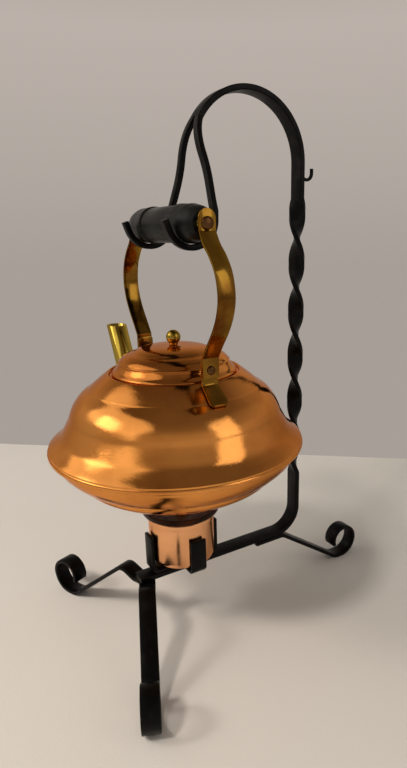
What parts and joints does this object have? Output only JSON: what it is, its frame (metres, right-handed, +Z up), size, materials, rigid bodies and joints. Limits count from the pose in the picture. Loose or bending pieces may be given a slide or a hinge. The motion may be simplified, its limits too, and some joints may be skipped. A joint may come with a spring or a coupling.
{
  "type": "kettle on warming stand",
  "caption": "Round copper kettle with brass spout and bowed handle, hung by its black wooden grip from a twisted iron stand with scroll feet over a spirit burner.",
  "frame": {"origin": "middle of the whole object's box, on the surface it stands on", "axes": "+Z up; the twisted column stands towards +Y and the two front legs point towards -Y; the grip lies along X and the spout points to -X"},
  "size_m": [0.2188, 0.2662, 0.3875],
  "materials": {
    "blackened_iron": "satin black, forged flat bar and strip",
    "copper": "polished copper with fine wear",
    "brass": "polished brass, slightly tarnished",
    "burnt_metal": "darkened by the flame",
    "black_wood": "turned, blackened and polished",
    "cotton": "woven wick"
  },
  "bodies": {
    "stand": {"stand_bar": "blackened_iron", "leg_right": "blackened_iron", "leg_left": "blackened_iron", "leg_rear": "blackened_iron", "holder_strip_long": "blackened_iron", "holder_strip_cross": "blackened_iron", "wire_hook": "blackened_iron"},
    "grip": {"grip": "black_wood"},
    "kettle": {"kettle_upper": "copper", "kettle_lower": "copper", "spout": "brass", "handle_strap_right": "brass", "handle_strap_left": "brass", "handle_lug_right": "brass", "handle_lug_left": "brass", "lug_rivet_right": "brass", "lug_rivet_left": "brass", "grip_collar_right": "brass", "grip_collar_left": "brass", "handle_rod": "brass"},
    "lid": {"lid": "copper", "lid_knob": "brass", "lid_nut": "brass"},
    "burner": {"burner_cup": "copper", "wick_tube": "brass", "wick": "cotton"},
    "pan": {"burner_pan": "burnt_metal"}
  },
  "joints": [
    {"name": "kettle_lift", "type": "slide", "parent": "stand", "child": "grip", "axis": [0, 0, 1], "range_m": [0, 0.02]},
    {"name": "kettle_swing", "type": "hinge", "parent": "grip", "child": "kettle", "pos_m": [0.01099, -0.04314, 0.298], "axis": [1, 0, 0], "range_deg": [-15, 2.5]},
    {"name": "lid_lift", "type": "slide", "parent": "kettle", "child": "lid", "axis": [0, 0, 1], "range_m": [0, 0.02]},
    {"name": "burner_lift", "type": "slide", "parent": "stand", "child": "burner", "axis": [0, 0, 1], "range_m": [0, 0.005]},
    {"name": "pan_lift", "type": "slide", "parent": "burner", "child": "pan", "axis": [0, 0, 1], "range_m": [0, 0.005]}
  ]
}
